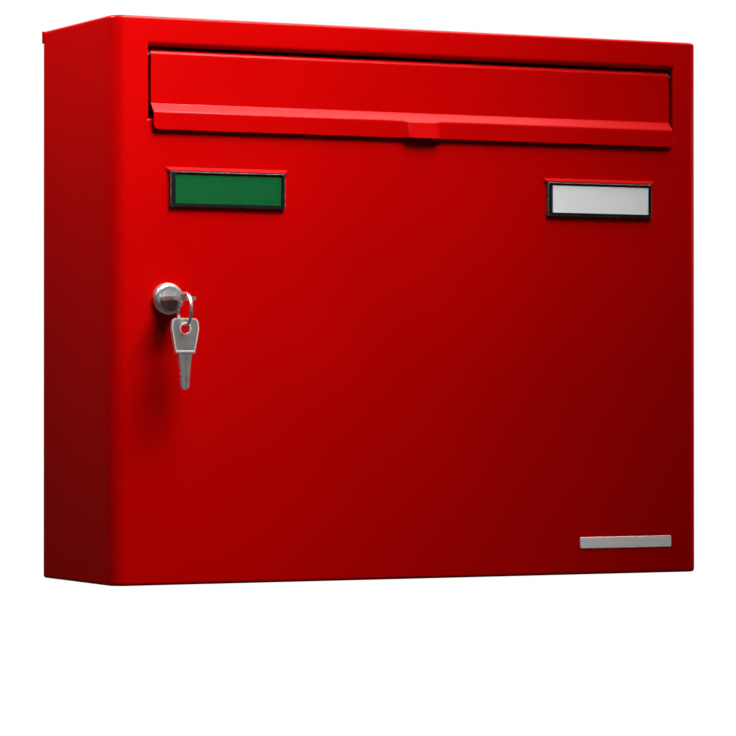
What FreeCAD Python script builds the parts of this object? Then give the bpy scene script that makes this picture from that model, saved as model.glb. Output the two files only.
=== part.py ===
import FreeCAD, Part
import math
import os

# Wall-mounted letterbox: a folded tray on the wall and a wrap-over door that carries the letter flap,
# two label windows and a cam lock with its keys.
# Frame: x to the right, y towards the wall, z up. The wall plane is y = 0 and the origin lies at the
# centre of the four wall holes. All sizes are in millimetres.

V = FreeCAD.Vector

# Overall size
WIDTH = 382.0
HEIGHT = 320.0
DEPTH = 110.0
SHEET = 1.0

# Door shell
EDGE_R = 8.0            # outer radius of the two vertical front bends
LID_R = 1.8             # outer radius of the top and bottom front bends
REAR_GAP = 3.0          # from the wall to the rear edges of the door
HINGE_LAP = 4.0         # straight flange behind the right-hand front bend

# Tray
SIDE_GAP = 1.5          # door side to tray side, lock side
LID_GAP = 0.5           # door top and bottom to tray top and bottom
TRAY_FRONT = 12.0       # front edges of the tray's top and bottom behind the door's face
HINGE_WALL_BACK = 15.0  # front edge of the hinge-side wall behind the door's face
KEEPER_BACK = 17.0      # keeper and the lock-side wall's edge behind the door's face
KEEPER_WIDTH = 15.5
KEEPER_LEG = 14.0
KEEPER_HEIGHT = 70.0
MAIL_LIP = 11.0
HOLE_SIDE = 41.0        # wall holes to the sides of the box
HOLE_END = 40.0         # wall holes to its top and bottom
WALL_HOLE_R = 3.5
RAIN_HEM_HEIGHT = 7.0
RAIN_HEM_DEPTH = 2.2

# Door hinge
PIN_R = 2.5
PIN_LENGTH = 11.0
PIN_SEAT = 0.03
RUNNING = 0.06          # radial clearance of pins and axles in their bearings
BUSH_WALL = 1.1
BUSH_FLANGE_R = 5.4
BUSH_FLANGE = 1.2
EAR_R = 5.5
EAR_NECK = 8.0
EAR_ANGLE = 170.0
SWEEP_GAP = 0.7

# Letter slot and flap
SLOT_SIDE = 20.0        # slot to the sides of the box, before its shift
SLOT_SHIFT = 2.0        # slot and flap off centre, towards the hinge
SLOT_TOP = 16.7         # below the top of the box
SLOT_HEIGHT = 40.8
COLLAR_DEPTH = 13.0
MOUTH_TOP_R = 3.0
MOUTH_R = 1.5
FLAP_SIDE_GAP = 2.0
FLAP_TOP_GAP = 1.8
FLAP_RECESS = 1.8
FLAP_FLAT = 30.5        # top of the flap to the start of its slope
FLAP_SLOPE_DROP = 4.8
FLAP_SLOPE_OUT = 4.4
FLAP_LIP = 9.9
FLAP_RETURN = 8.0
FLAP_BEND = 1.2
FLAP_CORNER_R = 3.0
AXLE_R = 2.0
AXLE_SEAT = 0.03
TAB_WIDTH = 25.5
TAB_BLEND = 4.4
TAB_BLEND_STEPS = 3
TAB_RISE = 0.8
TAB_FLARE = 1.8
BEARING_SIZE = 9.6
BEARING_DEPTH = 3.6
BEARING_SPIGOT_R = 3.0
BUFFER_R = 2.0
BUFFER_IN = 52.0        # buffers from the sides of the slot
BUFFER_UP = 2.3
REST_GAP = 0.3          # between the closed flap and its buffers

# Label windows
LABEL_SIDE = 69.8       # label centres from the sides of the box
LABEL_DROP = 97.0       # and below its top
COVER_WIDTH = 71.2
COVER_HEIGHT = 20.0
COVER_PROUD = 2.6
COVER_FRONT = 1.0
COVER_RIM = 1.3
COVER_BEVEL = 0.6
LABEL_FIT = 0.25
HOLDER_PLATE = 1.0
HOLDER_BOSS_WIDTH = 59.6
HOLDER_BOSS_HEIGHT = 11.6
HOLDER_HOOK = 1.4
CARD = 0.4
BROW_WIDTH = 75.5
BROW_HEIGHT = 2.2
BROW_PROUD = 1.8
BROW_ABOVE = 0.25

# Lock
LOCK_SIDE = 33.0        # lock axis from the side of the box
LOCK_Z = 1.0
LOCK_HEAD_R = 9.2
LOCK_HEAD_RIM = 1.6
LOCK_HEAD_PROUD = 4.4
LOCK_DOME_FACETS = 2
LOCK_MOUTH_R = 6.6      # inner end of the dome
LOCK_BODY_R = 8.0
LOCK_BODY_BACK = 20.0   # rear end of the lock body behind the door's face
LOCK_FLAT = 7.2
LOCK_FIT = 0.1
NUT_FLATS = 22.0
NUT_THICK = 4.0
PLUG_R = 6.0
PLUG_PROUD = 0.8
PLUG_STEP = 0.5
PLUG_STEP_R = 5.0
TAIL = 5.0
CAM_GAP = 0.5
CAM_THICK = 2.0
CAM_REACH = 24.0
CAM_HUB_R = 8.0
CAM_TIP_R = 5.0
CAM_HOLE_FIT = 0.1
SCREW_HEAD_R = 4.2
SCREW_HEAD = 2.0
SCREW_SLOT = 1.0
SCREW_R = 1.5
SCREW_LENGTH = 6.0

# Keys and ring
KEY_THICK = 2.0
KEY_FIT = 0.1
BOW_LENGTH = 19.7
BOW_WIDTH = 16.6
BOW_WIDEST = 13.6       # height of the widest place above the shoulder
BOW_SHOULDER = 11.4
BOW_END = 15.2
BOW_CORNER_R = 2.8
BOW_HOLE_R = 2.75
BOW_RIM = 3.1           # hole to the end of the bow
BLADE_LENGTH = 20.0
BLADE_WIDTH = 8.0
BLADE_NECK = 9.0        # shoulder to the end of the blade's taper
BLADE_WAIST = 5.8
BLADE_TIP_R = 2.2
SHOULDER_RIB = 0.9
SHOULDER_RIB_PROUD = 0.2
BITTING = (0.5, 0.9, 0.6)
BIT_PITCH = 2.9
BIT_START = 10.0
GROOVE_WIDTH = 1.0
GROOVE_DEPTH = 0.45
RING_R = 9.4
RING_WIRE = 0.9         # side of its square wire
RING_SEAT = 0.45        # ring to the rim of the bow that it hangs on
RING_LEAN = 2.0         # ring centre ahead of that rim

# Places worked out from the sizes above
HALF_W = WIDTH / 2
HALF_H = HEIGHT / 2
FRONT = -DEPTH
HOLE_X = HALF_W - HOLE_SIDE
HOLE_Z = HALF_H - HOLE_END
REAR = -REAR_GAP
PANEL_BACK = FRONT + SHEET
HINGE_X = HALF_W - EDGE_R
HINGE_Y = FRONT + EDGE_R
HINGE_FLANGE_END = HINGE_Y + HINGE_LAP
SWEEP_R = math.hypot(EDGE_R, HINGE_LAP) + SWEEP_GAP
TRAY_LEFT = -HALF_W + SHEET + SIDE_GAP
TRAY_LID = HALF_H - SHEET - LID_GAP
TRAY_EDGE = FRONT + TRAY_FRONT
SLOT_HALF = HALF_W - SLOT_SIDE
SLOT_CEILING = HALF_H - SLOT_TOP
SLOT_FLOOR = SLOT_CEILING - SLOT_HEIGHT
COLLAR_END = FRONT + COLLAR_DEPTH
FLAP_HALF = SLOT_HALF - FLAP_SIDE_GAP
FLAP_TOP = SLOT_CEILING - FLAP_TOP_GAP
FLAP_FACE = FRONT + FLAP_RECESS
TOP_BEND = AXLE_R + AXLE_SEAT
AXLE_Y = FLAP_FACE + SHEET + TOP_BEND
AXLE_Z = FLAP_TOP - SHEET - TOP_BEND
SLOPE_TOP = FLAP_TOP - FLAP_FLAT
LIP_TOP = SLOPE_TOP - FLAP_SLOPE_DROP
LIP_BOTTOM = LIP_TOP - FLAP_LIP
LIP_FACE = FLAP_FACE - FLAP_SLOPE_OUT
BEARING_X = SLOT_HALF + SHEET
AXLE_END = BEARING_X + BEARING_DEPTH
BUFFER_X = SLOT_HALF - BUFFER_IN
LABEL_X = HALF_W - LABEL_SIDE
LABEL_Z = HALF_H - LABEL_DROP
LOCK_X = LOCK_SIDE - HALF_W
LOCK_SEAT_BACK = FRONT + LOCK_BODY_BACK
PLUG_FACE = FRONT - LOCK_HEAD_PROUD - PLUG_PROUD
CAM_Y = LOCK_SEAT_BACK + CAM_GAP
CAM_BACK = CAM_Y + CAM_THICK
KEY_SHOULDER = PLUG_FACE - KEY_FIT
BOW_TIP_Y = KEY_SHOULDER - BOW_LENGTH
BOW_HOLE_IN = BOW_RIM + BOW_HOLE_R
RIM_Y = BOW_TIP_Y + BOW_RIM / 2
RING_Y = RIM_Y - RING_LEAN
RIM_CORNER = math.hypot(BOW_RIM / 2, KEY_THICK / 2)
RING_REACH = RING_R - RING_WIRE / 2 - RING_SEAT - RIM_CORNER
RING_DROP = math.sqrt(RING_REACH**2 - RING_LEAN**2)
RING_Z = LOCK_Z - RING_DROP
SPARE_PIVOT_Z = RING_Z - RING_R
SPARE_HOLE_Z = SPARE_PIVOT_Z + math.hypot(RING_WIRE, RING_WIRE / 2) + RING_SEAT - BOW_HOLE_R


def box(x, y, z):
    """Block between the pairs of limits along x, y and z."""
    return Part.makeBox(x[1] - x[0], y[1] - y[0], z[1] - z[0], V(x[0], y[0], z[0]))


def rounded_wire(corners, place):
    """Closed wire through corners (u, v, radius), each corner rounded where its radius is not zero."""
    count = len(corners)
    spans = []
    for i, (u, v, radius) in enumerate(corners):
        here = V(u, v, 0)
        if radius == 0:
            spans.append((here, here, here))
            continue
        before = V(*corners[i - 1][:2], 0).sub(here).normalize()
        after = V(*corners[(i + 1) % count][:2], 0).sub(here).normalize()
        half = before.getAngle(after) / 2
        bisector = before.add(after).normalize()
        setback = radius / math.tan(half)
        middle = here + bisector * (radius / math.sin(half) - radius)
        spans.append((here + before * setback, middle, here + after * setback))
    edges = []
    for i, (start, middle, end) in enumerate(spans):
        if start != end:
            edges.append(Part.Arc(*(place(p.x, p.y) for p in (start, middle, end))).toShape())
        following = spans[(i + 1) % count][0]
        if end.sub(following).Length > 1e-7:
            edges.append(Part.LineSegment(place(end.x, end.y), place(following.x, following.y)).toShape())
    return Part.Wire(edges)


def along_x(corners, x):
    """Solid with the outline (y, z, radius), from x[0] to x[1]."""
    wire = rounded_wire(corners, lambda u, v: V(x[0], u, v))
    return Part.Face(wire).extrude(V(x[1] - x[0], 0, 0))


def along_y(corners, y):
    """Solid with the outline (x, z, radius), from y[0] to y[1]."""
    wire = rounded_wire(corners, lambda u, v: V(u, y[0], v))
    return Part.Face(wire).extrude(V(0, y[1] - y[0], 0))


def along_z(corners, z):
    """Solid with the outline (x, y, radius), from z[0] to z[1]."""
    wire = rounded_wire(corners, lambda u, v: V(u, v, z[0]))
    return Part.Face(wire).extrude(V(0, 0, z[1] - z[0]))


def rectangle(u, v, radius=0.0):
    """Corners of a rectangle between the limits u and v."""
    return [(u[0], v[0], radius), (u[1], v[0], radius), (u[1], v[1], radius), (u[0], v[1], radius)]


def folded(path, thickness):
    """Closed outline of a folded sheet: path holds (u, v, inside bend radius) along one face and the
    sheet lies on the left of it."""
    points = [V(u, v, 0) for u, v, _ in path]
    runs = [b.sub(a).normalize() for a, b in zip(points, points[1:])]
    normals = [V(-run.y, run.x, 0) for run in runs]
    face = [(points[0].x, points[0].y, 0.0)]
    other = [(points[0] + normals[0] * thickness)]
    back = [(other[0].x, other[0].y, 0.0)]
    for i in range(1, len(points) - 1):
        radius = path[i][2]
        turn_left = runs[i - 1].cross(runs[i]).z > 0
        mitre = normals[i - 1].add(normals[i]).normalize()
        inner = points[i] + mitre * (thickness / mitre.dot(normals[i]))
        face.append((points[i].x, points[i].y, radius + thickness if turn_left else radius))
        back.append((inner.x, inner.y, radius if turn_left else radius + thickness))
    end = points[-1] + normals[-1] * thickness
    face.append((points[-1].x, points[-1].y, 0.0))
    back.append((end.x, end.y, 0.0))
    return face + back[::-1]


def rod_x(radius, x, y, z):
    return Part.makeCylinder(radius, x[1] - x[0], V(x[0], y, z), V(1, 0, 0))


def rod_y(radius, y, x, z):
    return Part.makeCylinder(radius, y[1] - y[0], V(x, y[0], z), V(0, 1, 0))


def rod_z(radius, z, x, y):
    return Part.makeCylinder(radius, z[1] - z[0], V(x, y, z[0]), V(0, 0, 1))


def mirrored(shape, axis):
    """Copy of the shape on the other side of the plane through the origin normal to axis."""
    return shape.mirror(V(0, 0, 0), axis)


def fuse(*shapes):
    return shapes[0].multiFuse(list(shapes[1:])).removeSplitter()


def at_slot(shape):
    """Copy of the shape carried from the box's middle plane to the slot's."""
    return shape.translated(V(SLOT_SHIFT, 0, 0))


def wrap_block(inset, rear):
    """Body of the box drawn in by inset, with its two upright front bends, as far back as rear."""
    side = HALF_W - inset
    lid = HALF_H - inset
    bend = EDGE_R - inset
    plan = [(-side, rear, 0), (-side, FRONT + inset, bend), (side, FRONT + inset, bend), (side, rear, 0)]
    return along_z(plan, (-lid, lid))


def round_lids(block, rear):
    """Round the block's top and bottom edges, apart from those at the rear."""

    def on_lid(limits):
        level = limits.ZLength < 1e-6 and abs(abs(limits.ZMin) - HALF_H) < 1e-6
        return level and limits.YMin < rear - 1e-3

    return block.makeFillet(LID_R, [edge for edge in block.Edges if on_lid(edge.BoundBox)])


def slot_throat(inset):
    """Space of the letter slot with its rolled mouth, widened by inset."""
    face = FRONT + inset
    ahead = FRONT - MOUTH_TOP_R
    floor = SLOT_FLOOR - inset
    ceiling = SLOT_CEILING + inset
    half = SLOT_HALF + inset
    low_r = MOUTH_R - inset
    top_r = MOUTH_TOP_R - inset
    section = [
        (COLLAR_END, floor, 0), (face, floor, low_r), (face, floor - low_r, 0), (ahead, floor - low_r, 0),
        (ahead, ceiling + top_r, 0), (face, ceiling + top_r, 0), (face, ceiling, top_r),
        (COLLAR_END, ceiling, 0),
    ]
    wide = half + low_r
    plan = [
        (-half, COLLAR_END, 0), (-half, face, low_r), (-wide, face, 0), (-wide, ahead, 0),
        (wide, ahead, 0), (wide, face, 0), (half, face, low_r), (half, COLLAR_END, 0),
    ]
    upright = along_x(section, (-WIDTH, WIDTH))
    level = along_z(plan, (-HEIGHT, HEIGHT))
    return at_slot(upright.common(level))


def label_brow(side):
    """Pressed drip bead above a label window."""
    low = LABEL_Z + COVER_HEIGHT / 2 + BROW_ABOVE
    crest = BROW_PROUD / 3
    section = [
        (PANEL_BACK, low, 0), (PANEL_BACK, low + BROW_HEIGHT, 0), (FRONT, low + BROW_HEIGHT, 0),
        (FRONT - BROW_PROUD, low + crest, crest / 2), (FRONT - BROW_PROUD, low, crest / 4),
    ]
    left = side * LABEL_X - BROW_WIDTH / 2
    right = left + BROW_WIDTH
    top = FRONT - BROW_PROUD
    plan = [
        (left, PANEL_BACK, 0), (left, FRONT, 0), (left + BROW_PROUD, top, 0),
        (right - BROW_PROUD, top, 0), (right, FRONT, 0), (right, PANEL_BACK, 0),
    ]
    ridge = along_x(section, (left, right))
    return ridge.common(along_z(plan, (low - BROW_HEIGHT, low + 2 * BROW_HEIGHT)))


def label_block(side, half_w, half_h, y):
    """Block centred on a label window."""
    middle = side * LABEL_X
    return box((middle - half_w, middle + half_w), y, (LABEL_Z - half_h, LABEL_Z + half_h))


def lock_block(half_w, half_h, y):
    """Block centred on the lock's axis."""
    return box((LOCK_X - half_w, LOCK_X + half_w), y, (LOCK_Z - half_h, LOCK_Z + half_h))


def lock_hole(clearance, y):
    """Double-D section of the lock body, grown by clearance."""
    round_part = rod_y(LOCK_BODY_R + clearance, y, LOCK_X, LOCK_Z)
    return round_part.common(lock_block(LOCK_FLAT + clearance, 2 * LOCK_BODY_R, y))


def make_door_shell():
    outside = round_lids(wrap_block(0.0, REAR), REAR).cut(slot_throat(0.0))
    inside = wrap_block(SHEET, REAR_GAP).cut(slot_throat(SHEET))
    shell = outside.cut(inside)
    edge = HALF_W - LID_R
    open_side = (HINGE_FLANGE_END, REAR_GAP)
    shell = shell.cut(box((edge, HALF_W + SHEET), open_side, (-HEIGHT, HEIGHT)))
    strip = box((edge, HALF_W), (HINGE_FLANGE_END, REAR), (HALF_H - SHEET, HALF_H))
    shell = fuse(shell, strip, mirrored(strip, V(0, 0, 1)), label_brow(-1), label_brow(1))
    through = (FRONT - SHEET, PANEL_BACK + SHEET)
    half_w = HOLDER_BOSS_WIDTH / 2 + LABEL_FIT
    half_h = HOLDER_BOSS_HEIGHT / 2 + LABEL_FIT
    cuts = [lock_hole(LOCK_FIT, through)]
    for side in (-1, 1):
        cuts.append(label_block(side, half_w, half_h, through))
        seat = sorted((side * (SLOT_HALF - SHEET), side * (SLOT_HALF + 2 * SHEET)))
        cuts.append(at_slot(rod_x(BEARING_SPIGOT_R + PIN_SEAT, seat, AXLE_Y, AXLE_Z)))
        lid = sorted((side * (HALF_H - 2 * SHEET), side * (HALF_H + SHEET)))
        cuts.append(rod_z(PIN_R + PIN_SEAT, lid, HINGE_X, HINGE_Y))
    return shell.cut(Part.makeCompound(cuts))


def hinge_ear():
    """Rounded tab of the tray's upper sheet that carries the hinge bush, reached from the lock side."""
    low = TRAY_LID - SHEET
    angle = math.radians(EAR_ANGLE)
    reach = V(math.cos(angle), math.sin(angle), 0) * (2 * SWEEP_R)
    across = V(-math.sin(angle), math.cos(angle), 0) * (EAR_NECK / 2)
    pivot = V(HINGE_X, HINGE_Y, low)
    corners = [pivot + across, pivot + reach + across, pivot + reach - across, pivot - across]
    neck = Part.Face(Part.makePolygon(corners + corners[:1])).extrude(V(0, 0, SHEET))
    return fuse(rod_z(EAR_R, (low, TRAY_LID), HINGE_X, HINGE_Y), neck)


def make_back_tray():
    left = TRAY_LEFT
    lid = TRAY_LID
    wall_y = FRONT + HINGE_WALL_BACK
    # The lock side, the back and the hinge side are one folded strip.
    path = [(HALF_W, wall_y, 0), (HALF_W, 0, SHEET), (left, 0, SHEET), (left, FRONT + KEEPER_BACK, 0)]
    strip = along_z(folded(path, SHEET), (-lid, lid))
    upper = box((left, HALF_W), (TRAY_EDGE, 0), (lid - SHEET, lid))
    through = (lid - 2 * SHEET, lid + SHEET)
    corner = box((HINGE_X - SWEEP_R, HALF_W + SHEET), (TRAY_EDGE - SHEET, wall_y), through)
    sweep = rod_z(SWEEP_R, through, HINGE_X, HINGE_Y)
    upper = upper.cut(corner).cut(sweep).fuse(hinge_ear())
    bush_seat = rod_z(PIN_R + RUNNING + BUSH_WALL, through, HINGE_X, HINGE_Y)
    upper = upper.cut(bush_seat)
    lip_right = HINGE_X - 2 * SWEEP_R
    mail_lip = box((left, lip_right), (TRAY_EDGE, TRAY_EDGE + SHEET), (-lid, -lid + MAIL_LIP))
    hem = box((-HALF_W, HALF_W), (-RAIN_HEM_DEPTH, 0), (HALF_H - RAIN_HEM_HEIGHT, HALF_H))
    tray = fuse(strip, upper, mirrored(upper, V(0, 0, 1)), mail_lip, hem)
    holes = []
    for x in (-HOLE_X, HOLE_X):
        for z in (-HOLE_Z, HOLE_Z):
            holes.append(rod_y(WALL_HOLE_R, (-2 * SHEET, SHEET), x, z))
    return tray.cut(Part.makeCompound(holes))


def make_keeper():
    """Angle on the inside of the tray's lock-side wall that the turned cam catches behind."""
    wall = TRAY_LEFT + SHEET
    edge = FRONT + KEEPER_BACK
    path = [(wall, edge + KEEPER_LEG, 0), (wall, edge, SHEET), (wall + KEEPER_WIDTH, edge, 0)]
    half = KEEPER_HEIGHT / 2
    return along_z(folded(path, SHEET), (LOCK_Z - half, LOCK_Z + half))


def make_hinge_bush():
    """Flanged bush of the upper hinge, pushed into the ear from below."""
    under = TRAY_LID - SHEET
    hub = rod_z(PIN_R + RUNNING + BUSH_WALL - PIN_SEAT, (under, TRAY_LID), HINGE_X, HINGE_Y)
    flange = rod_z(BUSH_FLANGE_R, (under - BUSH_FLANGE, under), HINGE_X, HINGE_Y)
    bore = rod_z(PIN_R + RUNNING, (under - 2 * BUSH_FLANGE, HALF_H), HINGE_X, HINGE_Y)
    return fuse(hub, flange).cut(bore)


def make_hinge_pin():
    """Upper hinge pin, fixed flush in the door's top."""
    return rod_z(PIN_R, (HALF_H - PIN_LENGTH, HALF_H), HINGE_X, HINGE_Y)


def flap_lower_wire(x, rise, flare):
    """Section of the flap's slope and lip at x; rise carries the slope further out, flare the lip's edge."""
    path = [
        (FLAP_FACE, SLOPE_TOP + FLAP_SLOPE_DROP, 0), (FLAP_FACE, SLOPE_TOP, FLAP_BEND),
        (LIP_FACE - rise, LIP_TOP - rise, FLAP_BEND), (LIP_FACE - rise - flare, LIP_BOTTOM, 0),
    ]
    return rounded_wire(folded(path, SHEET), lambda u, v: V(x, u, v))


def tab_share(x):
    """How far the pull tab stands out at x from its middle, from 0 to 1."""
    run = min(1.0, (TAB_WIDTH / 2 - abs(x)) / TAB_BLEND)
    return run * run * (3 - 2 * run)


def make_letter_flap():
    split = SLOPE_TOP + FLAP_SLOPE_DROP
    upper_path = [
        (FLAP_FACE + FLAP_RETURN, FLAP_TOP, 0), (FLAP_FACE, FLAP_TOP, TOP_BEND), (FLAP_FACE, split, 0),
    ]
    upper = along_x(folded(upper_path, SHEET), (-FLAP_HALF, FLAP_HALF))
    half_tab = TAB_WIDTH / 2
    plain = flap_lower_wire(-FLAP_HALF, 0.0, 0.0)
    left = Part.Face(plain).extrude(V(FLAP_HALF - half_tab, 0, 0))
    blend = [TAB_BLEND * step / TAB_BLEND_STEPS - half_tab for step in range(TAB_BLEND_STEPS + 1)]
    stations = blend + [-x for x in reversed(blend)]
    sections = [flap_lower_wire(x, tab_share(x) * TAB_RISE, tab_share(x) * TAB_FLARE) for x in stations]
    tab = Part.makeLoft(sections, True, True)
    flap = fuse(upper, left, mirrored(left, V(1, 0, 0)), tab)
    outline = [
        (-FLAP_HALF, LIP_BOTTOM, FLAP_CORNER_R), (FLAP_HALF, LIP_BOTTOM, FLAP_CORNER_R),
        (FLAP_HALF, FLAP_TOP, 0), (-FLAP_HALF, FLAP_TOP, 0),
    ]
    return flap.common(along_y(outline, (FRONT - DEPTH, 0)))


def make_flap_axle():
    return rod_x(AXLE_R, (-AXLE_END, AXLE_END), AXLE_Y, AXLE_Z)


def make_flap_bearing():
    """Right-hand bearing block on the slot's collar, with a spigot through the collar."""
    low_y = PANEL_BACK + BEARING_SPIGOT_R / 4
    low_z = AXLE_Z - BEARING_SIZE / 2
    corners = rectangle((low_y, low_y + BEARING_SIZE), (low_z, low_z + BEARING_SIZE))
    block = along_x(corners, (BEARING_X, BEARING_X + BEARING_DEPTH))
    spigot = rod_x(BEARING_SPIGOT_R, (SLOT_HALF, BEARING_X), AXLE_Y, AXLE_Z)
    bore = rod_x(AXLE_R + RUNNING, (SLOT_HALF - SHEET, AXLE_END + SHEET), AXLE_Y, AXLE_Z)
    return fuse(block, spigot).cut(bore)


def make_flap_buffers():
    """Two soft dots behind the flap's lip that it comes to rest on."""
    z = LIP_BOTTOM + BUFFER_UP
    dots = [rod_y(BUFFER_R, (LIP_FACE + SHEET + REST_GAP, FRONT), x, z) for x in (-BUFFER_X, BUFFER_X)]
    return Part.makeCompound(dots)


def cover_room():
    """Half width and half height of the space inside a label cover."""
    return COVER_WIDTH / 2 - COVER_RIM, COVER_HEIGHT / 2 - COVER_RIM


def make_label_holder(side):
    """Tray that clips into the door's window and carries the card."""
    half_w, half_h = (size - LABEL_FIT for size in cover_room())
    plate = label_block(side, half_w, half_h, (FRONT - HOLDER_PLATE, FRONT))
    boss_w = HOLDER_BOSS_WIDTH / 2
    boss_h = HOLDER_BOSS_HEIGHT / 2
    back = PANEL_BACK + 2 * HOLDER_HOOK
    boss = label_block(side, boss_w, boss_h, (FRONT, back))
    hollow = label_block(side, boss_w - HOLDER_HOOK, boss_h - HOLDER_HOOK, (FRONT, back))
    holder = fuse(plate, boss).cut(hollow)
    hooks = []
    for end in (-1, 1):
        root = side * LABEL_X + end * boss_w
        tip = root + end * HOLDER_HOOK
        profile = [(root, PANEL_BACK, 0), (tip, PANEL_BACK, 0), (root, back, 0)]
        hooks.append(along_z(profile, (LABEL_Z - boss_h / 2, LABEL_Z + boss_h / 2)))
    return fuse(holder, *hooks)


def make_label_card(side):
    half_w, half_h = (size - 2 * LABEL_FIT for size in cover_room())
    face = FRONT - HOLDER_PLATE
    return label_block(side, half_w, half_h, (face - CARD, face))


def make_label_cover(side):
    """Clear cap over the card, bevelled along its front edges."""
    front = FRONT - COVER_PROUD
    cap = label_block(side, COVER_WIDTH / 2, COVER_HEIGHT / 2, (front, FRONT))
    cap = cap.makeChamfer(COVER_BEVEL, [edge for edge in cap.Edges if edge.BoundBox.YMin < FRONT - 1e-3])
    return cap.cut(label_block(side, *cover_room(), (front + COVER_FRONT, FRONT)))


def lock_turned(profile):
    """Solid turned about the lock's axis from (radius, y) points."""
    points = [V(LOCK_X + radius, y, LOCK_Z) for radius, y in profile]
    wire = Part.makePolygon(points + points[:1])
    return Part.Face(wire).revolve(V(LOCK_X, 0, LOCK_Z), V(0, 1, 0), 360)


def make_lock_cylinder():
    """Lock housing: domed head on the door's face and a double-D body through it."""
    face_y = FRONT - LOCK_HEAD_PROUD
    dome = [(0, FRONT), (LOCK_HEAD_R, FRONT)]
    for step in range(LOCK_DOME_FACETS + 1):
        turn = math.pi / 2 * step / LOCK_DOME_FACETS
        reach = (LOCK_HEAD_R - LOCK_MOUTH_R) * math.cos(turn)
        rise = (LOCK_HEAD_PROUD - LOCK_HEAD_RIM) * math.sin(turn)
        dome.append((LOCK_MOUTH_R + reach, FRONT - LOCK_HEAD_RIM - rise))
    head = lock_turned(dome + [(0, face_y)])
    body = lock_hole(0.0, (FRONT, LOCK_SEAT_BACK))
    bore = rod_y(PLUG_R + RUNNING, (face_y - SHEET, LOCK_SEAT_BACK + SHEET), LOCK_X, LOCK_Z)
    return fuse(head, body).cut(bore)


def make_lock_nut():
    """Hexagon nut that clamps the lock to the inside of the door."""
    corner = NUT_FLATS / 2 / math.cos(math.pi / 6)
    turns = [i * math.pi / 3 for i in range(6)]
    outline = [(LOCK_X + corner * math.cos(turn), LOCK_Z + corner * math.sin(turn), 0) for turn in turns]
    nut = along_y(outline, (PANEL_BACK, PANEL_BACK + NUT_THICK))
    through = (PANEL_BACK - SHEET, PANEL_BACK + 2 * NUT_THICK)
    return nut.cut(rod_y(LOCK_BODY_R + LOCK_FIT, through, LOCK_X, LOCK_Z))


def make_lock_plug():
    """Turning plug with a raised middle, its keyway and a square tail for the cam."""
    ledge = PLUG_FACE + PLUG_STEP
    barrel = lock_turned([
        (0, PLUG_FACE), (PLUG_STEP_R, PLUG_FACE), (PLUG_STEP_R, ledge), (PLUG_R, ledge),
        (PLUG_R, LOCK_SEAT_BACK), (0, LOCK_SEAT_BACK),
    ])
    tail = lock_block(TAIL / 2, TAIL / 2, (LOCK_SEAT_BACK, CAM_BACK))
    slot_end = KEY_SHOULDER + BLADE_LENGTH + SHEET
    keyway = lock_block(BLADE_WIDTH / 2 + KEY_FIT, KEY_THICK / 2 + KEY_FIT, (PLUG_FACE - SHEET, slot_end))
    thread = rod_y(SCREW_R + PIN_SEAT, (CAM_BACK - SCREW_LENGTH, CAM_BACK + SHEET), LOCK_X, LOCK_Z)
    return fuse(barrel, tail).cut(keyway).cut(thread)


def make_lock_cam():
    """Cam plate on the plug's tail, hanging down while the lock is open."""
    y = (CAM_Y, CAM_BACK)
    hub = rod_y(CAM_HUB_R, y, LOCK_X, LOCK_Z)
    tip_z = LOCK_Z - CAM_REACH
    arm = along_y([
        (LOCK_X - CAM_HUB_R, LOCK_Z, 0), (LOCK_X - CAM_TIP_R, tip_z, CAM_TIP_R / 2),
        (LOCK_X + CAM_TIP_R, tip_z, CAM_TIP_R / 2), (LOCK_X + CAM_HUB_R, LOCK_Z, 0),
    ], y)
    half = TAIL / 2 + CAM_HOLE_FIT
    return fuse(hub, arm).cut(lock_block(half, half, (CAM_Y - SHEET, CAM_BACK + SHEET)))


def make_cam_screw():
    """Slotted screw that holds the cam on the plug's tail."""
    top = CAM_BACK + SCREW_HEAD
    tip = CAM_BACK - SCREW_LENGTH + PIN_SEAT
    screw = lock_turned([
        (0, tip), (SCREW_R, tip), (SCREW_R, CAM_BACK),
        (SCREW_HEAD_R, CAM_BACK), (SCREW_HEAD_R, top), (0, top),
    ])
    return screw.cut(lock_block(SCREW_HEAD_R + SHEET, SCREW_SLOT / 2, (top - SCREW_HEAD / 2, top + SHEET)))


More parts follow.
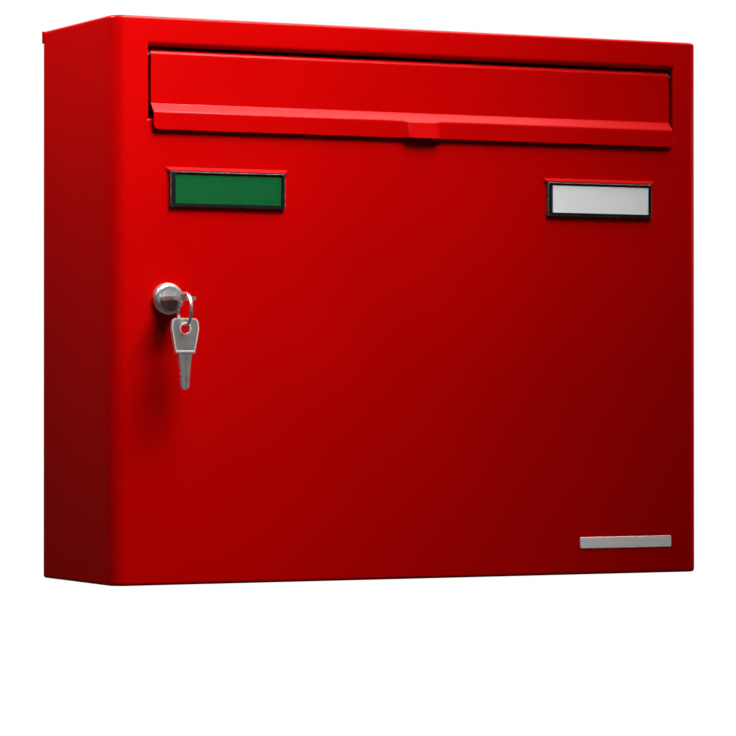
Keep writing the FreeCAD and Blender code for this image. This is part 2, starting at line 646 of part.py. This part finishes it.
def flat_key():
    """Key lying in the xz plane: its shoulder at the origin, the bow upwards, the blade down."""
    half = KEY_THICK / 2
    y = (-half, half)
    bow = along_y([
        (-BOW_SHOULDER / 2, 0, 0), (BOW_SHOULDER / 2, 0, 0), (BOW_WIDTH / 2, BOW_WIDEST, 2 * BOW_CORNER_R),
        (BOW_END / 2, BOW_LENGTH, BOW_CORNER_R), (-BOW_END / 2, BOW_LENGTH, BOW_CORNER_R),
        (-BOW_WIDTH / 2, BOW_WIDEST, 2 * BOW_CORNER_R),
    ], y)
    bow = bow.cut(rod_y(BOW_HOLE_R, (-KEY_THICK, KEY_THICK), 0, BOW_LENGTH - BOW_HOLE_IN))
    side = BOW_SHOULDER / 2
    rib = box((-side, side), (-half - SHOULDER_RIB_PROUD, half + SHOULDER_RIB_PROUD), (0, SHOULDER_RIB))
    neck = BLADE_WIDTH / 2
    waist = BLADE_WAIST / 2
    blade = along_y([
        (-neck, 0, 0), (-waist, -BLADE_NECK, 0), (-BLADE_TIP_R, -BLADE_LENGTH, 0.9 * BLADE_TIP_R),
        (BLADE_TIP_R, -BLADE_LENGTH, 0.9 * BLADE_TIP_R), (waist, -BLADE_NECK, 0), (neck, 0, 0),
    ], y)
    cuts = []
    for i, depth in enumerate(BITTING):
        z = -BIT_START - i * BIT_PITCH
        cuts.append(along_y([
            (-neck, z - BIT_PITCH / 2, 0), (depth - waist, z - BIT_PITCH / 8, 0),
            (depth - waist, z + BIT_PITCH / 8, 0), (-neck, z + BIT_PITCH / 2, 0),
        ], (-KEY_THICK, KEY_THICK)))
    groove = (-GROOVE_WIDTH / 2, GROOVE_WIDTH / 2)
    for face in (-1, 1):
        depth = sorted((face * (half - GROOVE_DEPTH), face * KEY_THICK))
        cuts.append(box(groove, depth, (-2 * BLADE_LENGTH, -SHEET)))
    return fuse(bow, rib, blade.cut(Part.makeCompound(cuts)))


def make_key():
    """Key in the lock: bow forwards, lying level."""
    key = flat_key()
    key.rotate(V(0, 0, 0), V(1, 0, 0), 90)
    key.translate(V(LOCK_X, KEY_SHOULDER, LOCK_Z))
    return key


def make_key_ring():
    """Two turns of square wire side by side, through the key's bow and over its rim."""
    across = (LOCK_X - RING_WIRE, LOCK_X + RING_WIRE)
    blank = rod_x(RING_R + RING_WIRE / 2, across, RING_Y, RING_Z)
    return blank.cut(rod_x(RING_R - RING_WIRE / 2, across, RING_Y, RING_Z))


def make_spare_key():
    """Second key, hanging face on from the ring."""
    key = flat_key()
    key.translate(V(LOCK_X, RING_Y, SPARE_HOLE_Z - BOW_LENGTH + BOW_HOLE_IN))
    return key


def make_all():
    bush = make_hinge_bush()
    pin = make_hinge_pin()
    bearing = make_flap_bearing()
    nodes = {
        "back_tray": make_back_tray(),
        "keeper": make_keeper(),
        "upper_hinge_bush": bush,
        "lower_hinge_bush": mirrored(bush, V(0, 0, 1)),
        "door_shell": make_door_shell(),
        "upper_hinge_pin": pin,
        "lower_hinge_pin": mirrored(pin, V(0, 0, 1)),
        "letter_flap": at_slot(make_letter_flap()),
        "flap_axle": at_slot(make_flap_axle()),
        "right_flap_bearing": at_slot(bearing),
        "left_flap_bearing": at_slot(mirrored(bearing, V(1, 0, 0))),
        "flap_buffers": at_slot(make_flap_buffers()),
        "lock_cylinder": make_lock_cylinder(),
        "lock_nut": make_lock_nut(),
        "lock_plug": make_lock_plug(),
        "lock_cam": make_lock_cam(),
        "cam_screw": make_cam_screw(),
        "key": make_key(),
        "key_ring": make_key_ring(),
        "spare_key": make_spare_key(),
    }
    for name, side in (("left", -1), ("right", 1)):
        nodes[name + "_label_holder"] = make_label_holder(side)
        nodes[name + "_label_card"] = make_label_card(side)
        nodes[name + "_label_cover"] = make_label_cover(side)
    return nodes


os.makedirs("parts", exist_ok=True)
for node, shape in make_all().items():
    shape.exportStep("parts/" + node + ".step")
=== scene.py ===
import math

import bmesh
import bpy
from mathutils import Matrix, Vector


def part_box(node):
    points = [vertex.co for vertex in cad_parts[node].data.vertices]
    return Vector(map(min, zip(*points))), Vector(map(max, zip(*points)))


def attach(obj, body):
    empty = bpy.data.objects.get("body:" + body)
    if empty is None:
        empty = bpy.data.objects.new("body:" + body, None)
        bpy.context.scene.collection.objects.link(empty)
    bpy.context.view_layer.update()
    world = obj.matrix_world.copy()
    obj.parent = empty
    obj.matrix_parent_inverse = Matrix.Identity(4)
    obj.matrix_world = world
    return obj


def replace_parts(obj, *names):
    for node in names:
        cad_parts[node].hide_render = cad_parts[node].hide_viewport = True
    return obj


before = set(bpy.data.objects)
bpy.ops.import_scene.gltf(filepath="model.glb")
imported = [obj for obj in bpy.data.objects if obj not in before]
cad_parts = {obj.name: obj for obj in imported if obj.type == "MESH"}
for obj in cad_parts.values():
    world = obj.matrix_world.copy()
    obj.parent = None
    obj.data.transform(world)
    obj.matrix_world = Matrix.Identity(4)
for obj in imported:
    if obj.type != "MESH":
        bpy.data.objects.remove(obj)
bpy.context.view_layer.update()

# Wall-mounted red letterbox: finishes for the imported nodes, and the pieces that are made here, which are
# the bare plate on the door, the round lock head, the two coined keys and the split ring.
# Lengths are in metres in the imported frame: x to the right, y towards the wall, z up.

MM = 0.001
Y, Z = 1, 2

# Camera, as the photograph was taken
AZIMUTH = math.radians(26.0863)
PITCH = math.radians(0.4065)
ROLL = math.radians(-0.0147)
CAMERA_PLACE = Vector((-0.94735, -1.97950, -0.05221))
FOCAL_PIXELS = 3601.0
FRAME_PIXELS = 736
SENSOR = 36.0
CLIP_NEAR = 0.05
CLIP_FAR = 60.0

# Floor, which under the box is mixed with a share of white for the camera
FLOOR_Z = -1.15
FLOOR_R = 12.0
FLOOR_SEGMENTS = 96
FLOOR_TONES = (0.30, 0.34)
FLOOR_WHITE = 0.75
FLOOR_SHADOW_R = 1.8

# Room: its own light, and what shows in reflections as from height, to height, dim and bright
AMBIENT = 0.01
CEILING = (0.2, 0.9, 0.03, 1.0)

# Lamps: name, place, aim, size, watts, spread in degrees, seen in reflections
LAMPS = (
    ("front_softbox", (-0.06, -0.60, 0.90), (-0.45, -0.11, 0.41), 0.60, 11.9, 98.0, True),
    ("side_softbox", (-0.643, 0.074, 0.694), (-0.191, -0.162, 0.558), 0.25, 6.1, 113.0, True),
    ("right_fill", (0.60, -0.06, 0.08), (0.19, -0.10, -0.06), 0.20, 1.3, 180.0, False),
    ("rear_fill", (0.90, 0.90, 0.60), (0.0, 0.0, 0.0), 0.80, 13.0, 180.0, False),
    ("overhead_softbox", (0.155, -0.06, 0.60), (0.155, -0.06, 0.0), 0.39, 4.4, 180.0, True),
)

# Bare plate on the door
PLATE_X = 139.8 * MM
PLATE_Z = -141.1 * MM
PLATE_SIZE = (62.8 * MM, 6.8 * MM)
PLATE_THICK = 0.5 * MM
PLATE_CORNER = 1.0 * MM
CORNER_STEPS = 6

# Label holders and covers; the bars are left, right, bottom and top
HOLDER_FLANGE = 1.0 * MM
COVER_BARS = (3.1 * MM, 2.0 * MM, 2.0 * MM, 0.5 * MM)
# Width of the pale band round each cover, a painted highlight
COVER_HIGHLIGHT_EDGE = 0.5 * MM

# Lock head
LOCK_BODY_R = 8.0 * MM
LOCK_FLAT = 7.2 * MM
LOCK_MOUTH_R = 6.6 * MM
LOCK_RIM = 1.6 * MM
LOCK_FIT = 0.06 * MM
LOCK_SEGMENTS = 72
LOCK_SHARP = math.radians(35)
DOME_STEPS = 8

# Coined key bows
KEY_BOW = 19.2 * MM
# Width of the border that carries the painted highlight
KEY_RIM = 0.8 * MM
KEY_SINK = 0.12 * MM
KEY_WELD = 0.02 * MM
KEY_FACING = 0.99
KEY_SHARP = math.radians(20)

# Split ring
RING_JOG = math.radians(50)
RING_STEPS = 144
RING_SIDES = 12

# Sockets of a Mix node, for colours and for numbers
COLOUR_A, COLOUR_B, COLOUR_RESULT = 6, 7, 2
NUMBER_FACTOR, NUMBER_A, NUMBER_B, NUMBER_RESULT = 0, 2, 3, 0


class Look:
    """A material under construction: the shader, its constants and the textures that feed it."""

    def __init__(self, name, **constants):
        self.material = bpy.data.materials.new(name)
        self.material.use_nodes = True
        self.nodes = self.material.node_tree.nodes
        self.links = self.material.node_tree.links
        self.shader = self.nodes["Principled BSDF"]
        for socket, value in constants.items():
            self.shader.inputs[socket.replace("_", " ")].default_value = value
        self.place = self.nodes.new("ShaderNodeTexCoord").outputs["Object"]

    def join(self, source, target):
        self.links.new(source, target)

    def stretched(self, scale):
        """Object coordinates scaled along each axis."""
        mapping = self.nodes.new("ShaderNodeMapping")
        mapping.inputs["Scale"].default_value = scale
        self.join(self.place, mapping.inputs["Vector"])
        return mapping.outputs["Vector"]

    def noise(self, scale, detail=3.0, place=None):
        node = self.nodes.new("ShaderNodeTexNoise")
        node.inputs["Scale"].default_value = scale
        node.inputs["Detail"].default_value = detail
        self.join(place or self.place, node.inputs["Vector"])
        return node.outputs["Fac"]

    def cells(self, scale):
        """A random colour in each cell."""
        node = self.nodes.new("ShaderNodeTexVoronoi")
        node.inputs["Scale"].default_value = scale
        self.join(self.place, node.inputs["Vector"])
        return node.outputs["Color"]

    def ramp(self, source, *stops):
        """Colour ramp through two (position, colour) stops; a number stands for a grey."""
        node = self.nodes.new("ShaderNodeValToRGB")
        for element, (position, colour) in zip(node.color_ramp.elements, stops):
            element.position = position
            element.color = ((colour,) * 3 if isinstance(colour, float) else colour) + (1,)
        self.join(source, node.inputs["Fac"])
        return node.outputs["Color"]

    def levels(self, source, low, high):
        """Source from 0 to 1 carried to the range low to high."""
        node = self.nodes.new("ShaderNodeMapRange")
        node.inputs["To Min"].default_value = low
        node.inputs["To Max"].default_value = high
        self.join(source, node.inputs["Value"])
        return node.outputs["Result"]

    def math(self, operation, first, second):
        node = self.nodes.new("ShaderNodeMath")
        node.operation = operation
        for source, target in zip((first, second), node.inputs):
            if isinstance(source, float):
                target.default_value = source
            else:
                self.join(source, target)
        return node.outputs[0]

    def within(self, distances, limits):
        """1 where any of the distances is under its limit."""
        total = 0.0
        for distance, limit in zip(distances, limits):
            total = self.math("MAXIMUM", self.math("LESS_THAN", distance, limit), total)
        return total

    def mix(self, factor, first, second):
        node = self.nodes.new("ShaderNodeMix")
        node.data_type = "RGBA"
        self.join(factor, node.inputs["Factor"])
        for value, target in ((first, node.inputs[COLOUR_A]), (second, node.inputs[COLOUR_B])):
            if isinstance(value, tuple):
                target.default_value = value + (1,)
            else:
                self.join(value, target)
        return node.outputs[COLOUR_RESULT]

    def bump(self, height, depth, under=None):
        node = self.nodes.new("ShaderNodeBump")
        node.inputs["Distance"].default_value = depth
        self.join(height, node.inputs["Height"])
        if under is not None:
            self.join(under, node.inputs["Normal"])
        return node.outputs["Normal"]

    def feed(self, **sources):
        for socket, source in sources.items():
            self.join(source, self.shader.inputs[socket.replace("_", " ")])
        return self.material

    def finish(self, tone, worn, relief, rough, depth):
        """Material with a colour, a range of roughness that follows a texture, and a fine relief."""
        return self.feed(Base_Color=tone, Roughness=self.levels(worn, *rough),
                         Normal=self.bump(relief, depth))


def blend_value(nodes, links, factor, first, second):
    """Number between first and second; either may be a socket."""
    node = nodes.new("ShaderNodeMix")
    for source, socket in ((factor, NUMBER_FACTOR), (first, NUMBER_A), (second, NUMBER_B)):
        if isinstance(source, float):
            node.inputs[socket].default_value = source
        else:
            links.new(source, node.inputs[socket])
    return node.outputs[NUMBER_RESULT]


def red_paint():
    """Powder coat: saturated red with a slow drift of tone and a fine orange peel."""
    look = Look("powder_coat_red", Specular_IOR_Level=0.12)
    drift = look.noise(9.0, detail=2.0)
    speck = look.noise(2600.0, detail=1.0)
    tone = look.ramp(drift, (0.3, (0.48, 0.0, 0.0)), (0.7, (0.53, 0.0, 0.0)))
    fleck = look.ramp(speck, (0.62, 0.0), (0.8, 0.06))
    colour = look.mix(fleck, tone, (0.64, 0.012, 0.010))
    peel = look.noise(420.0, detail=2.0)
    normal = look.bump(speck, 0.004 * MM, under=look.bump(peel, 0.02 * MM))
    return look.feed(Base_Color=colour, Roughness=look.levels(drift, 0.24, 0.34), Normal=normal)


def zinc_steel():
    """Zinc plate: faint crystal spangle over a rolled sheet."""
    look = Look("zinc_plate", Metallic=1.0)
    spangle = look.cells(420.0)
    tone = look.ramp(spangle, (0.2, (0.50, 0.51, 0.53)), (0.8, (0.66, 0.67, 0.69)))
    rolled = look.noise(300.0, place=look.stretched((1, 1, 12)))
    return look.finish(tone, rolled, rolled, rough=(0.26, 0.46), depth=0.01 * MM)


def black_steel():
    """Blackened wire with a dry, slightly streaked oxide."""
    look = Look("black_oxide", Specular_IOR_Level=0.3)
    streak = look.noise(800.0, place=look.stretched((0.1, 1, 1)))
    tone = look.ramp(streak, (0.3, (0.012, 0.012, 0.013)), (0.7, (0.030, 0.030, 0.032)))
    return look.finish(tone, streak, streak, rough=(0.45, 0.65), depth=0.005 * MM)


def lock_chrome():
    """Bright chrome with light handling marks."""
    look = Look("chrome", Metallic=0.8)
    wear = look.noise(260.0, detail=4.0)
    hair = look.noise(900.0, place=look.stretched((8, 1, 1)))
    tone = look.ramp(wear, (0.3, (0.70, 0.70, 0.72)), (0.7, (0.82, 0.82, 0.83)))
    return look.finish(tone, wear, hair, rough=(0.12, 0.26), depth=0.001 * MM)


def plug_satin():
    """Satin chrome with a fine grain."""
    look = Look("satin_chrome", Metallic=0.75)
    wear = look.noise(400.0, detail=4.0)
    grain = look.noise(2400.0, detail=2.0)
    tone = look.ramp(wear, (0.3, (0.46, 0.46, 0.47)), (0.7, (0.62, 0.62, 0.63)))
    return look.finish(tone, grain, grain, rough=(0.22, 0.36), depth=0.004 * MM)


def key_nickel():
    """Satin nickel, brushed one way."""
    look = Look("satin_nickel", Metallic=0.75)
    brushed = look.noise(700.0, detail=4.0, place=look.stretched((8, 1, 1)))
    stain = look.noise(180.0)
    tone = look.ramp(stain, (0.3, (0.42, 0.40, 0.385)), (0.7, (0.55, 0.53, 0.51)))
    return look.finish(tone, brushed, brushed, rough=(0.26, 0.46), depth=0.008 * MM)


def highlit_rim_nickel():
    """Nickel on the borders of the key bows, worn and finely scratched; its lighter, warmer tone is a
    painted highlight along the edges.
    """
    look = Look("highlit_rim_nickel", Metallic=0.3)
    scratch = look.noise(1400.0, detail=4.0)
    tone = look.ramp(scratch, (0.3, (0.70, 0.64, 0.59)), (0.7, (0.88, 0.82, 0.77)))
    return look.finish(tone, scratch, scratch, rough=(0.25, 0.4), depth=0.004 * MM)


def ring_steel():
    """Drawn spring wire with faint marks of the die."""
    look = Look("spring_wire", Metallic=0.8)
    marks = look.noise(900.0)
    tone = look.ramp(marks, (0.3, (0.50, 0.47, 0.44)), (0.7, (0.70, 0.66, 0.63)))
    return look.finish(tone, marks, marks, rough=(0.18, 0.32), depth=0.004 * MM)


def black_plastic():
    """Moulded plastic with a fine eroded grain."""
    look = Look("moulded_black", Specular_IOR_Level=0.35)
    grain = look.noise(3200.0, detail=2.0)
    tone = look.ramp(grain, (0.35, (0.010, 0.010, 0.011)), (0.7, (0.022, 0.022, 0.024)))
    return look.finish(tone, grain, grain, rough=(0.38, 0.60), depth=0.01 * MM)


def buffer_rubber():
    """Soft matt rubber with a dusty bloom."""
    look = Look("matt_rubber", Specular_IOR_Level=0.2)
    bloom = look.noise(1500.0, detail=4.0)
    tone = look.ramp(bloom, (0.35, (0.018, 0.018, 0.018)), (0.75, (0.05, 0.05, 0.048)))
    return look.finish(tone, bloom, bloom, rough=(0.7, 0.95), depth=0.02 * MM)


def card(name, dark, light):
    """Coated card: fine fibres and a slight mottle."""
    look = Look(name, Specular_IOR_Level=0.05)
    fibre = look.noise(1800.0, detail=5.0, place=look.stretched((0.4, 1, 1)))
    tone = look.ramp(fibre, (0.3, dark), (0.7, light))
    return look.finish(tone, fibre, fibre, rough=(0.55, 0.8), depth=0.006 * MM)


def clear_plastic(node):
    """Clear moulded cover: a window to look through, dark bars, and pale edges that are a painted highlight,
    set out from its box.
    """
    low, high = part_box(node)
    look = Look("clear_cover_" + node.split("_")[0], Specular_IOR_Level=0.5)
    split = look.nodes.new("ShaderNodeSeparateXYZ")
    look.join(look.place, split.inputs[0])
    across, height = split.outputs["X"], split.outputs["Z"]
    inward = (
        look.math("SUBTRACT", across, float(low.x)),
        look.math("SUBTRACT", float(high.x), across),
        look.math("SUBTRACT", height, float(low.z)),
        look.math("SUBTRACT", float(high.z), height),
    )
    bars = look.within(inward, COVER_BARS)
    # Pale band round the edges of the cover: a painted highlight
    edge_highlight_mask = look.within(inward, (COVER_HIGHLIGHT_EDGE,) * len(inward))
    haze = look.noise(700.0)
    clear = look.levels(haze, 0.004, 0.015)
    solid = look.levels(haze, 0.86, 0.96)
    dark = look.ramp(haze, (0.3, 0.008), (0.7, 0.018))
    edge_highlight_tone = look.ramp(haze, (0.35, 0.04), (0.65, 0.22))
    look.feed(Alpha=blend_value(look.nodes, look.links, bars, clear, solid))
    return look.finish(look.mix(edge_highlight_mask, dark, edge_highlight_tone), haze, haze, rough=(0.08, 0.2), depth=0.004 * MM)


def brushed_plate():
    """Aluminium plate brushed along its length."""
    look = Look("brushed_aluminium", Metallic=0.05)
    brushed = look.noise(900.0, detail=5.0, place=look.stretched((0.05, 1, 2)))
    tone = look.ramp(brushed, (0.3, (0.84, 0.80, 0.77)), (0.7, (0.97, 0.94, 0.92)))
    return look.finish(tone, brushed, brushed, rough=(0.30, 0.5), depth=0.006 * MM)


def dress_nodes():
    """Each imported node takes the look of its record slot; each cover has its own, set out from its box."""
    looks = {
        "red_paint": red_paint(),
        "zinc_steel": zinc_steel(),
        "black_steel": black_steel(),
        "lock_chrome": lock_chrome(),
        "key_nickel": key_nickel(),
        "ring_steel": ring_steel(),
        "black_plastic": black_plastic(),
        "buffer_rubber": buffer_rubber(),
        "green_card": card("green_card_stock", (0.003, 0.085, 0.022), (0.006, 0.12, 0.030)),
        "white_card": card("white_card_stock", (0.93, 0.94, 0.95), (0.97, 0.98, 0.98)),
    }
    for name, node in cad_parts.items():
        slot = node.data.materials[0].name
        node.data.materials[0] = looks[slot] if slot in looks else clear_plastic(name)
    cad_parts["lock_plug"].data.materials[0] = plug_satin()
    return looks


def mesh_piece(name, shape, material, body):
    mesh = bpy.data.meshes.new(name)
    shape.to_mesh(mesh)
    shape.free()
    piece = bpy.data.objects.new(name, mesh)
    bpy.context.scene.collection.objects.link(piece)
    mesh.materials.append(material)
    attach(piece, body)
    return piece


def door_face():
    """Place along y of the door's front, which the flange of a label holder lies on."""
    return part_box("left_label_holder")[0].y + HOLDER_FLANGE


def rounded_outline(half_w, half_h, radius):
    """Corner-rounded rectangle as (u, v) points, counter-clockwise."""
    points = []
    for quarter, (u, v) in enumerate(((1, 1), (-1, 1), (-1, -1), (1, -1))):
        for step in range(CORNER_STEPS + 1):
            angle = math.pi / 2 * (quarter + step / CORNER_STEPS)
            points.append((u * (half_w - radius) + radius * math.cos(angle),
                           v * (half_h - radius) + radius * math.sin(angle)))
    return points


def make_plate():
    """Bare plate on the door's face, with a small bevel all round."""
    face = door_face()
    half_w, half_h = PLATE_SIZE[0] / 2, PLATE_SIZE[1] / 2
    bevel = PLATE_THICK / 2
    layers = ((0.0, face), (0.0, face - PLATE_THICK + bevel), (bevel, face - PLATE_THICK))
    shape = bmesh.new()
    rings = []
    for inset, y in layers:
        outline = rounded_outline(half_w - inset, half_h - inset, PLATE_CORNER - inset)
        rings.append([shape.verts.new((PLATE_X + u, y, PLATE_Z + v)) for u, v in outline])
    for lower, upper in zip(rings, rings[1:]):
        for i in range(len(lower)):
            j = (i + 1) % len(lower)
            shape.faces.new((lower[i], lower[j], upper[j], upper[i]))
    shape.faces.new(rings[-1])
    shape.faces.new(rings[0][::-1])
    bmesh.ops.recalc_face_normals(shape, faces=shape.faces)
    mesh_piece("bare_plate", shape, brushed_plate(), "door")


def make_lock_head(material):
    """Lock housing turned with a round dome in place of the faceted one; the body keeps its two flats."""
    low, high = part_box("lock_cylinder")
    bore = (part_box("lock_plug")[1].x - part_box("lock_plug")[0].x) / 2 + LOCK_FIT
    head_r = (high.x - low.x) / 2
    door = door_face()
    profile = [(bore, low.y)]
    for step in range(DOME_STEPS + 1):
        turn = math.pi / 2 * step / DOME_STEPS
        profile.append((LOCK_MOUTH_R + (head_r - LOCK_MOUTH_R) * math.sin(turn),
                        low.y + (door - LOCK_RIM - low.y) * (1 - math.cos(turn))))
    profile += [(head_r, door), (LOCK_BODY_R, door), (LOCK_BODY_R, high.y), (bore, high.y)]
    shape = bmesh.new()
    columns = []
    for segment in range(LOCK_SEGMENTS):
        angle = 2 * math.pi * segment / LOCK_SEGMENTS
        column = []
        for radius, y in profile:
            x = radius * math.cos(angle)
            z = radius * math.sin(angle)
            if radius == LOCK_BODY_R:
                x = max(-LOCK_FLAT, min(LOCK_FLAT, x))
            column.append(shape.verts.new(((low.x + high.x) / 2 + x, y, (low.z + high.z) / 2 + z)))
        columns.append(column)
    for i, column in enumerate(columns):
        beside = columns[(i + 1) % LOCK_SEGMENTS]
        for j in range(len(profile)):
            k = (j + 1) % len(profile)
            shape.faces.new((column[j], column[k], beside[k], beside[j])).smooth = True
    bmesh.ops.recalc_face_normals(shape, faces=shape.faces)
    piece = mesh_piece("lock_head", shape, material, "door")
    piece.data.set_sharp_from_angle(angle=LOCK_SHARP)
    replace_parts(piece, "lock_cylinder")


def make_key(name, body, across, along, bow_end, material, rim_highlight):
    """Key with a coined bow: both faces sink a little inside a border worn by handling, whose lighter finish
    is a painted highlight.
    """
    low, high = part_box(name)
    shape = bmesh.new()
    shape.from_mesh(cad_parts[name].data)
    bmesh.ops.remove_doubles(shape, verts=shape.verts, dist=KEY_WELD)
    bmesh.ops.recalc_face_normals(shape, faces=shape.faces)
    for face in shape.faces:
        face.smooth = True
    for side, shoulder in ((-1, low[across]), (1, high[across])):
        bow = [face for face in shape.faces if side * face.normal[across] > KEY_FACING
               and all(abs(vert.co[along] - bow_end) < KEY_BOW for vert in face.verts)
               and all(abs(vert.co[across] - shoulder) > KEY_WELD for vert in face.verts)]
        rim = bmesh.ops.inset_region(shape, faces=bow, thickness=KEY_RIM, use_even_offset=False)
        # The border takes the second, lighter material: a painted highlight.
        for face in rim["faces"]:
            face.material_index = 1
        bmesh.ops.inset_region(shape, faces=bow, thickness=KEY_SINK, depth=-KEY_SINK, use_even_offset=False)
    piece = mesh_piece("coined_" + name, shape, material, body)
    piece.data.materials.append(rim_highlight)
    piece.data.attributes.remove(piece.data.attributes["custom_normal"])
    piece.data.set_sharp_from_angle(angle=KEY_SHARP)
    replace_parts(piece, name)


def make_split_ring(material):
    """Two turns of round wire that step over each other at a jog, with cut ends."""
    low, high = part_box("key_ring")
    centre = (low + high) / 2
    wire_r = (high.x - low.x) / 4
    radius = (high.z - low.z) / 2 - wire_r
    shape = bmesh.new()
    rings = []
    for step in range(RING_STEPS + 1):
        turn = 4 * math.pi * step / RING_STEPS
        across = min(1.0, max(0.0, (turn - 2 * math.pi) / RING_JOG + 0.5))
        shift = wire_r * (2 * across * across * (3 - 2 * across) - 1)
        out = Vector((0, math.cos(turn), math.sin(turn)))
        hub = centre + out * radius + Vector((shift, 0, 0))
        ring = []
        for side in range(RING_SIDES):
            angle = 2 * math.pi * side / RING_SIDES
            spoke = out * math.cos(angle) + Vector((math.sin(angle), 0, 0))
            ring.append(shape.verts.new(hub + spoke * wire_r))
        rings.append(ring)
    for before, after in zip(rings, rings[1:]):
        for i in range(RING_SIDES):
            j = (i + 1) % RING_SIDES
            shape.faces.new((before[i], before[j], after[j], after[i])).smooth = True
    shape.faces.new(rings[0][::-1])
    shape.faces.new(rings[-1])
    bmesh.ops.recalc_face_normals(shape, faces=shape.faces)
    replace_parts(mesh_piece("split_ring", shape, material, "ring"), "key_ring")


def make_camera():
    data = bpy.data.cameras.new("camera")
    data.sensor_width = SENSOR
    data.lens = FOCAL_PIXELS / FRAME_PIXELS * SENSOR
    data.clip_start = CLIP_NEAR
    data.clip_end = CLIP_FAR
    level = math.cos(PITCH)
    ahead = Vector((math.sin(AZIMUTH) * level, math.cos(AZIMUTH) * level, math.sin(PITCH)))
    right = Vector((math.cos(AZIMUTH), -math.sin(AZIMUTH), 0))
    up = right.cross(ahead)
    rolled_right = right * math.cos(ROLL) + up * math.sin(ROLL)
    rolled_up = up * math.cos(ROLL) - right * math.sin(ROLL)
    turned = Matrix((rolled_right, rolled_up, -ahead)).transposed().to_4x4()
    camera = bpy.data.objects.new("camera", data)
    camera.matrix_world = Matrix.Translation(CAMERA_PLACE) @ turned
    bpy.context.scene.collection.objects.link(camera)
    bpy.context.scene.camera = camera


def ray_kind(nodes, links, *kinds):
    """1 for rays of the given kinds."""
    rays = nodes.new("ShaderNodeLightPath")
    total = rays.outputs[kinds[0]]
    for kind in kinds[1:]:
        node = nodes.new("ShaderNodeMath")
        node.operation = "MAXIMUM"
        links.new(total, node.inputs[0])
        links.new(rays.outputs[kind], node.inputs[1])
        total = node.outputs[0]
    return total


def make_world():
    """White to the camera, a lit ceiling over a dim room in reflections, and little light of its own."""
    world = bpy.data.worlds.new("studio")
    bpy.context.scene.world = world
    world.use_nodes = True
    nodes = world.node_tree.nodes
    links = world.node_tree.links
    background = nodes["Background"]
    background.inputs["Color"].default_value = (1, 1, 1, 1)
    heading = nodes.new("ShaderNodeTexCoord")
    split = nodes.new("ShaderNodeSeparateXYZ")
    links.new(heading.outputs["Generated"], split.inputs[0])
    ceiling = nodes.new("ShaderNodeMapRange")
    ceiling.interpolation_type = "SMOOTHSTEP"
    for socket, value in zip(("From Min", "From Max", "To Min", "To Max"), CEILING):
        ceiling.inputs[socket].default_value = value
    links.new(split.outputs["Z"], ceiling.inputs["Value"])
    glossy = ray_kind(nodes, links, "Is Glossy Ray")
    mirrored = blend_value(nodes, links, glossy, AMBIENT, ceiling.outputs["Result"])
    direct = ray_kind(nodes, links, "Is Camera Ray", "Is Transmission Ray")
    links.new(blend_value(nodes, links, direct, mirrored, 1.0), background.inputs["Strength"])


def make_floor():
    """Floor that the camera sees as pale, with a soft shadow near the box, and white further out."""
    shape = bmesh.new()
    bmesh.ops.create_circle(shape, cap_ends=True, radius=FLOOR_R, segments=FLOOR_SEGMENTS,
                            matrix=Matrix.Translation((0, 0, FLOOR_Z)))
    mesh = bpy.data.meshes.new("floor")
    shape.to_mesh(mesh)
    shape.free()
    floor = bpy.data.objects.new("floor", mesh)
    bpy.context.scene.collection.objects.link(floor)
    look = Look("pale_floor", Specular_IOR_Level=0.0, Roughness=0.9)
    grain = look.noise(40.0, detail=4.0)
    look.feed(Base_Color=look.ramp(grain, (0.3, FLOOR_TONES[0]), (0.7, FLOOR_TONES[1])))
    white = look.nodes.new("ShaderNodeEmission")
    reach = look.nodes.new("ShaderNodeVectorMath")
    reach.operation = "LENGTH"
    look.join(look.place, reach.inputs[0])
    share = look.nodes.new("ShaderNodeMapRange")
    share.inputs["From Min"].default_value = FLOOR_SHADOW_R / 2
    share.inputs["From Max"].default_value = FLOOR_SHADOW_R
    share.inputs["To Min"].default_value = FLOOR_WHITE
    look.join(reach.outputs["Value"], share.inputs["Value"])
    direct = ray_kind(look.nodes, look.links, "Is Camera Ray", "Is Transmission Ray")
    factor = look.math("MULTIPLY", share.outputs["Result"], direct)
    blend = look.nodes.new("ShaderNodeMixShader")
    look.join(factor, blend.inputs["Fac"])
    look.join(look.shader.outputs[0], blend.inputs[1])
    look.join(white.outputs[0], blend.inputs[2])
    look.join(blend.outputs[0], look.nodes["Material Output"].inputs["Surface"])
    mesh.materials.append(look.material)


def make_lamp(name, place, aim, size, watts, spread, mirrored):
    data = bpy.data.lights.new(name, "AREA")
    data.size = size
    data.spread = math.radians(spread)
    data.energy = watts
    lamp = bpy.data.objects.new(name, data)
    lamp.location = place
    lamp.rotation_mode = "QUATERNION"
    lamp.rotation_quaternion = (Vector(aim) - Vector(place)).to_track_quat("-Z", "Y")
    lamp.visible_camera = False
    lamp.visible_glossy = mirrored
    bpy.context.scene.collection.objects.link(lamp)


bpy.context.scene.view_settings.view_transform = "Standard"
looks = dress_nodes()
make_plate()
make_lock_head(looks["lock_chrome"])
# Lighter material for the borders of the key bows: a painted highlight.
rim_highlight = highlit_rim_nickel()
make_key("key", "inserted_key", Z, Y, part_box("key")[0].y, looks["key_nickel"], rim_highlight)
make_key("spare_key", "hanging_key", Y, Z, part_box("spare_key")[1].z, looks["key_nickel"], rim_highlight)
make_split_ring(looks["ring_steel"])
make_camera()
make_world()
make_floor()
for lamp in LAMPS:
    make_lamp(*lamp)
